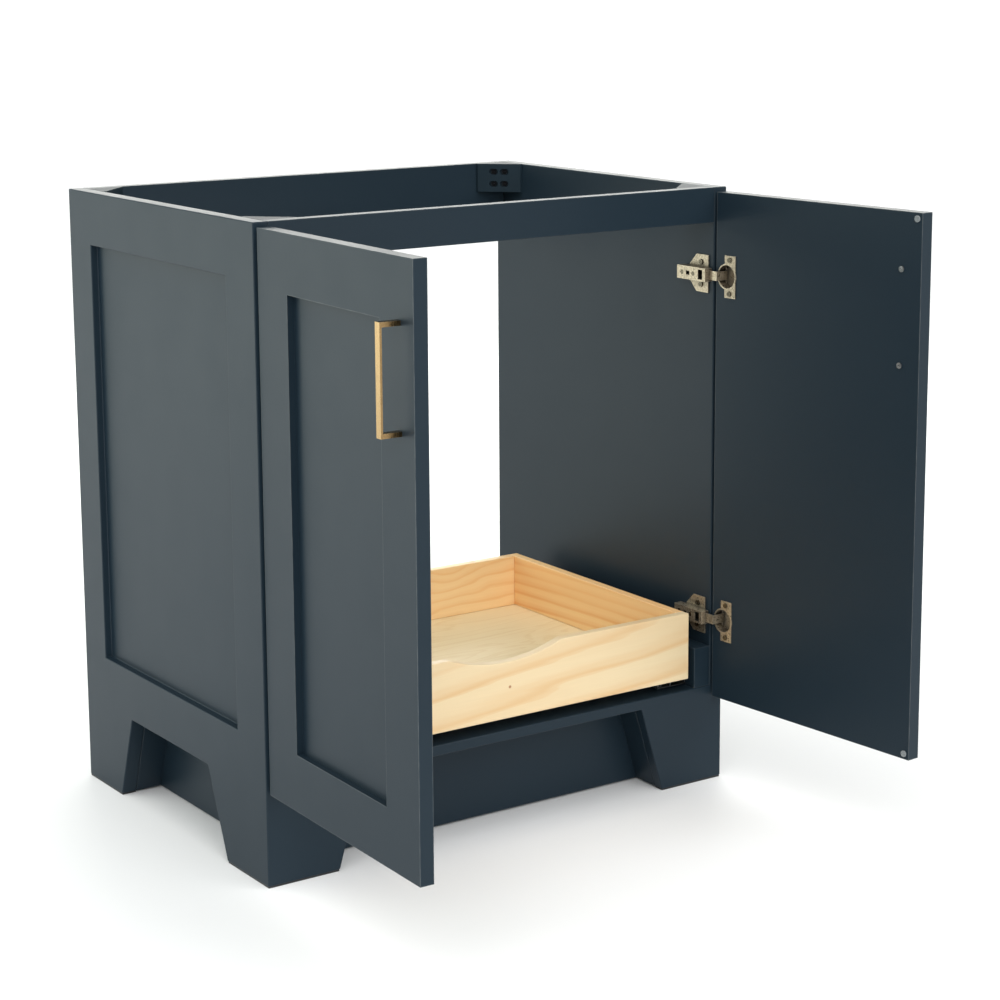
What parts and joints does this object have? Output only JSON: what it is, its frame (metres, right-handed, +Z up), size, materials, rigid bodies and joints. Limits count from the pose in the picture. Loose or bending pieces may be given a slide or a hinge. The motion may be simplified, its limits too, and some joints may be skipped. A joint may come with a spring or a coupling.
{
  "type": "bathroom vanity cabinet",
  "caption": "Freestanding open-top vanity base cabinet with framed doors on concealed hinges, flat bar handles and a pull-out pine drawer on undermount slides.",
  "frame": {"origin": "on the floor, at the middle of the cabinet's back, where its back meets the wall line", "axes": "+X to the right seen from the front, +Y towards the wall, +Z up; the doors and drawer face -Y"},
  "size_m": [0.8509, 0.9298, 0.876],
  "materials": {
    "cabinet_paint": "satin slate-blue painted board",
    "brace_plastic": "moulded plastic, matt",
    "pine": "clear-coated pine, satin",
    "plywood": "clear-coated plywood, satin",
    "brass": "brushed brass",
    "nickel": "nickel plate, semi-bright",
    "zinc_steel": "zinc plated steel",
    "dark_steel": "black phosphated steel",
    "black_plastic": "black moulded plastic, matt",
    "clear_bumper": "clear soft bumper"
  },
  "bodies": {
    "carcass": {"left_side_stiles": "cabinet_paint", "left_side_rails": "cabinet_paint", "left_side_panel": "cabinet_paint", "right_side_stiles": "cabinet_paint", "right_side_rails": "cabinet_paint", "right_side_panel": "cabinet_paint", "cabinet_floor": "cabinet_paint", "front_foot_boards": "cabinet_paint", "rear_base_board": "cabinet_paint", "foot_return_boards": "cabinet_paint", "front_toe_board": "cabinet_paint", "left_toe_board": "cabinet_paint", "right_toe_board": "cabinet_paint", "floor_pads": "black_plastic", "front_top_rail": "cabinet_paint", "rear_top_rail": "cabinet_paint", "left_front_brace": "brace_plastic", "right_front_brace": "brace_plastic", "left_rear_brace": "brace_plastic", "right_rear_brace": "brace_plastic", "brace_screws": "dark_steel", "left_slide_block": "cabinet_paint", "right_slide_block": "cabinet_paint", "left_fixed_slide": "zinc_steel", "right_fixed_slide": "zinc_steel", "left_hinge_plates": "nickel", "right_hinge_plates": "nickel", "left_hinge_arms": "nickel", "right_hinge_arms": "nickel", "hinge_plate_screws": "zinc_steel"},
    "left_door": {"left_door_stiles": "cabinet_paint", "left_door_rails": "cabinet_paint", "left_door_panel": "cabinet_paint", "left_door_handle": "brass", "left_handle_screws": "zinc_steel", "left_hinge_cups": "nickel", "left_cup_screws": "zinc_steel", "left_door_bumpers": "clear_bumper"},
    "right_door": {"right_door_stiles": "cabinet_paint", "right_door_rails": "cabinet_paint", "right_door_panel": "cabinet_paint", "right_door_handle": "brass", "right_handle_screws": "zinc_steel", "right_hinge_cups": "nickel", "right_cup_screws": "zinc_steel", "right_door_bumpers": "clear_bumper"},
    "left_slide_member": {"left_middle_slide": "zinc_steel"},
    "right_slide_member": {"right_middle_slide": "zinc_steel"},
    "drawer": {"drawer_front": "pine", "drawer_back": "pine", "drawer_left_side": "pine", "drawer_right_side": "pine", "drawer_bottom": "plywood", "left_drawer_slide": "zinc_steel", "right_drawer_slide": "zinc_steel", "drawer_clip_housings": "black_plastic"},
    "left_lever": {"left_release_lever": "nickel"},
    "right_lever": {"right_release_lever": "nickel"}
  },
  "joints": [
    {"name": "left_door_hinge", "type": "hinge", "parent": "carcass", "child": "left_door", "pos_m": [-0.3702, -0.5604, 0.5], "axis": [0, 0, -1], "range_deg": [-91.5, 8.5]},
    {"name": "right_door_hinge", "type": "hinge", "parent": "carcass", "child": "right_door", "pos_m": [0.3702, -0.5604, 0.5], "axis": [0, 0, 1], "range_deg": [-95, 5]},
    {"name": "drawer_slide", "type": "slide", "parent": "carcass", "child": "drawer", "axis": [0, -1, 0], "range_m": [0, 0.4]},
    {"name": "left_middle_slide_travel", "type": "slide", "parent": "carcass", "child": "left_slide_member", "axis": [0, -1, 0], "range_m": [0, 0.2]},
    {"name": "right_middle_slide_travel", "type": "slide", "parent": "carcass", "child": "right_slide_member", "axis": [0, -1, 0], "range_m": [0, 0.2]},
    {"name": "left_release_lever_turn", "type": "hinge", "parent": "drawer", "child": "left_lever", "pos_m": [-0.267, -0.492, 0.157], "axis": [0, 0, 1], "range_deg": [0, 12], "stiffness_Nm_per_rad": 0.02},
    {"name": "right_release_lever_turn", "type": "hinge", "parent": "drawer", "child": "right_lever", "pos_m": [0.267, -0.492, 0.157], "axis": [0, 0, -1], "range_deg": [0, 12], "stiffness_Nm_per_rad": 0.02}
  ],
  "couplings": [
    {"joint": "left_middle_slide_travel", "follows": "drawer_slide", "ratio": 0.5},
    {"joint": "right_middle_slide_travel", "follows": "drawer_slide", "ratio": 0.5}
  ]
}
